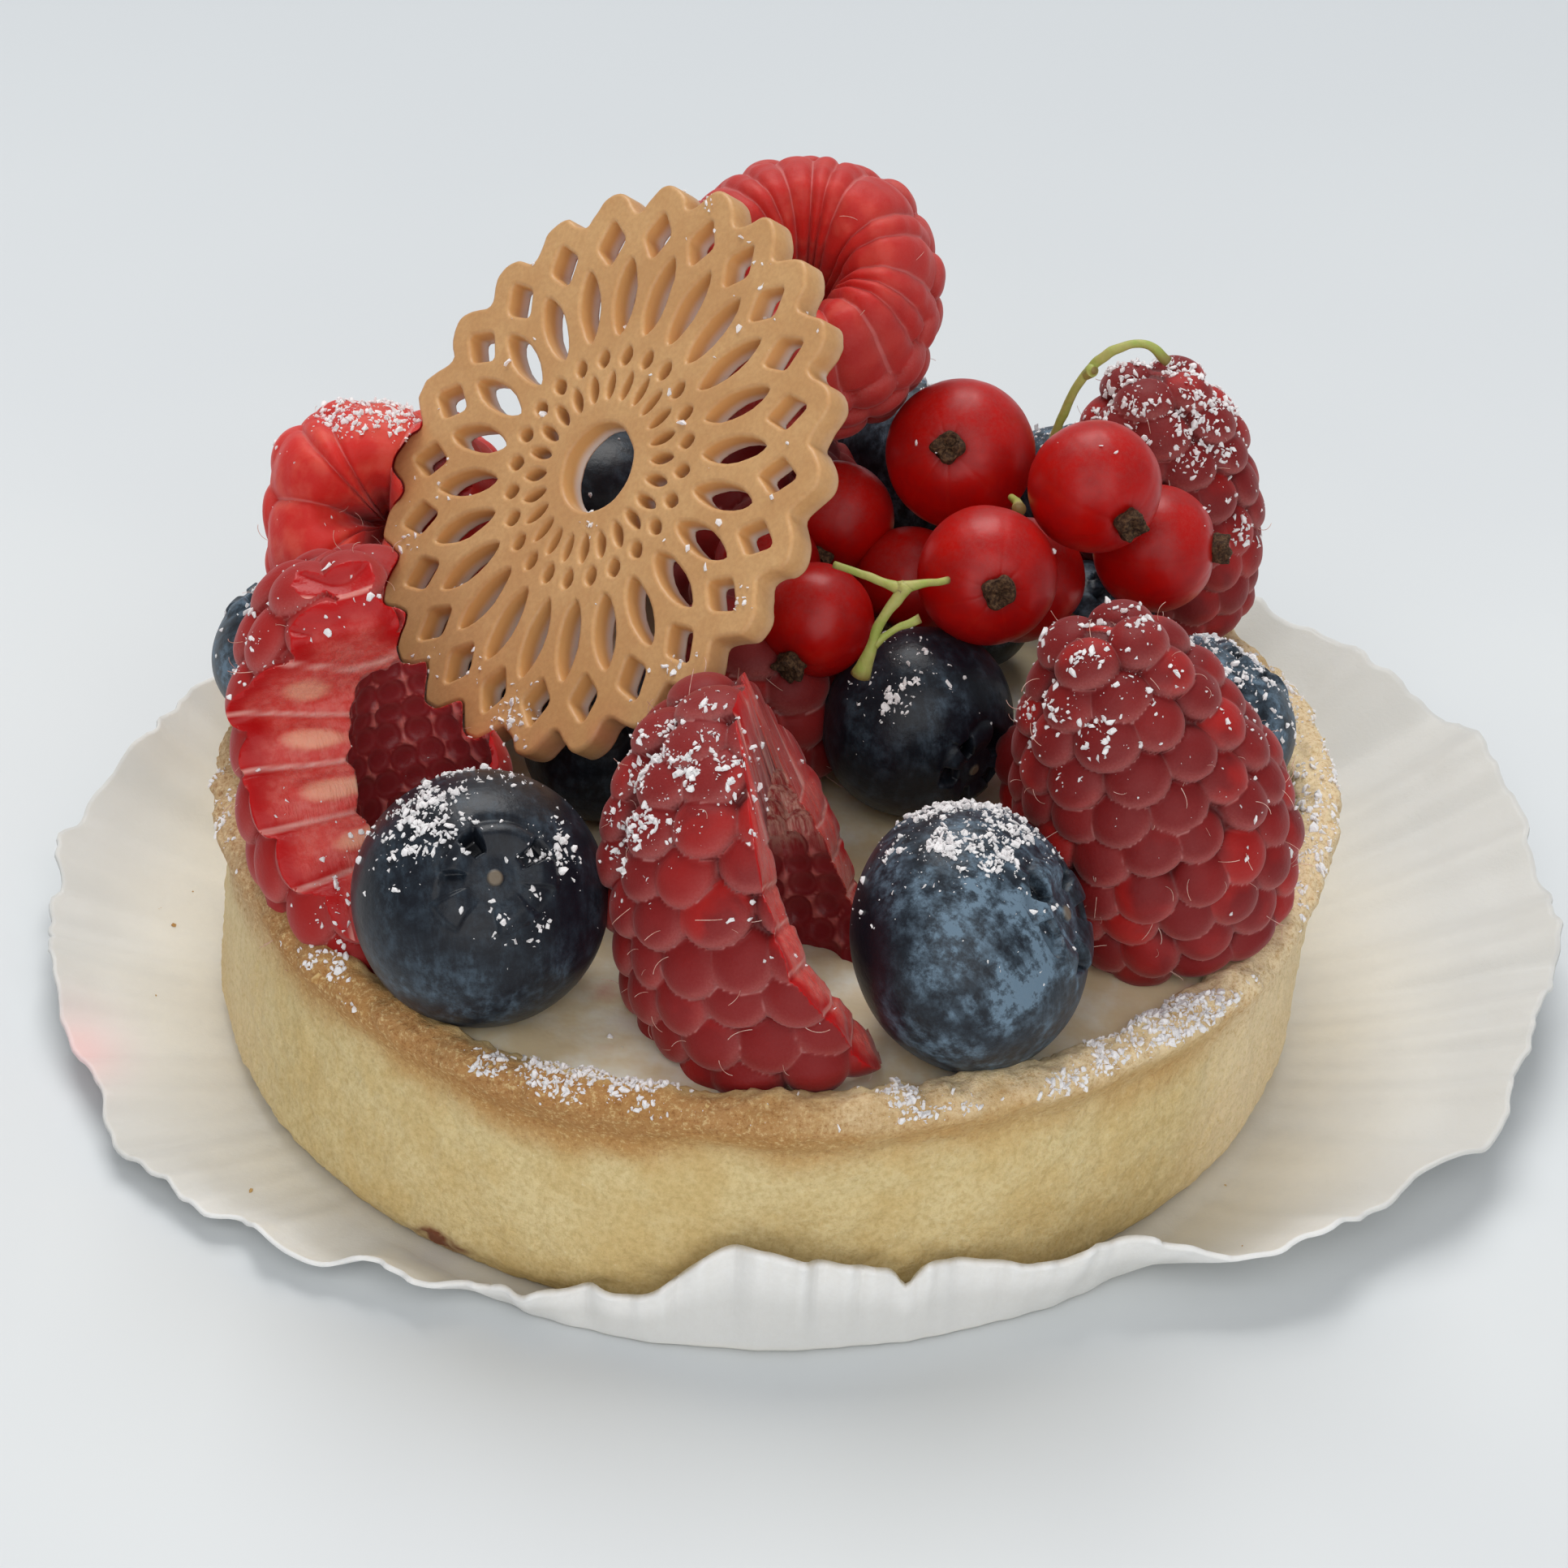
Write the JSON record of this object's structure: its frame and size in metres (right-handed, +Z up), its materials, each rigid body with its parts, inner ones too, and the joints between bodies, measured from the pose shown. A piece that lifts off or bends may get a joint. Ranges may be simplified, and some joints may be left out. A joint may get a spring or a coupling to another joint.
{
  "type": "berry tart",
  "caption": "Small round fruit tart in an opened paper case, heaped with berries, with a pierced lace disc leaning on the fruit.",
  "frame": {"origin": "on the tart's upright axis, on the underside of the paper case, at the level of what it rests on", "axes": "+Z up; front of the tart towards -Y; +X to the right seen from the front"},
  "size_m": [0.1097, 0.0894, 0.0574],
  "materials": {
    "paper": "matt white pleated baking paper, a little translucent",
    "crust": null,
    "cream": null,
    "chocolate": null,
    "raspberry": null,
    "blueberry": null,
    "currant": null,
    "stem": null
  },
  "bodies": {
    "root": {"paper_case": "paper", "crust": "crust", "cream": "cream", "lace_disc": "chocolate", "blueberry_front_left": "blueberry", "blueberry_front_right": "blueberry", "blueberry_centre": "blueberry", "blueberry_right": "blueberry", "blueberry_left": "blueberry", "blueberry_under_disc": "blueberry", "blueberry_back_left": "blueberry", "blueberry_back": "blueberry", "blueberry_back_right": "blueberry", "blueberry_inner_right": "blueberry", "blueberry_inner_left": "blueberry", "blueberry_inner_back": "blueberry", "raspberry_front_cut": "raspberry", "raspberry_right": "raspberry", "raspberry_top": "raspberry", "raspberry_left_cut": "raspberry", "raspberry_back_left_cut": "raspberry", "raspberry_back_right": "raspberry", "raspberry_under_top": "raspberry", "raspberry_inner_right": "raspberry", "raspberry_middle": "raspberry", "currant_1": "currant", "currant_2": "currant", "currant_3": "currant", "currant_4": "currant", "currant_5": "currant", "currant_6": "currant", "currant_7": "currant", "currant_8": "currant", "currant_9": "currant", "stem_front": "stem", "stem_middle": "stem", "stem_back": "stem"}
  },
  "joints": []
}
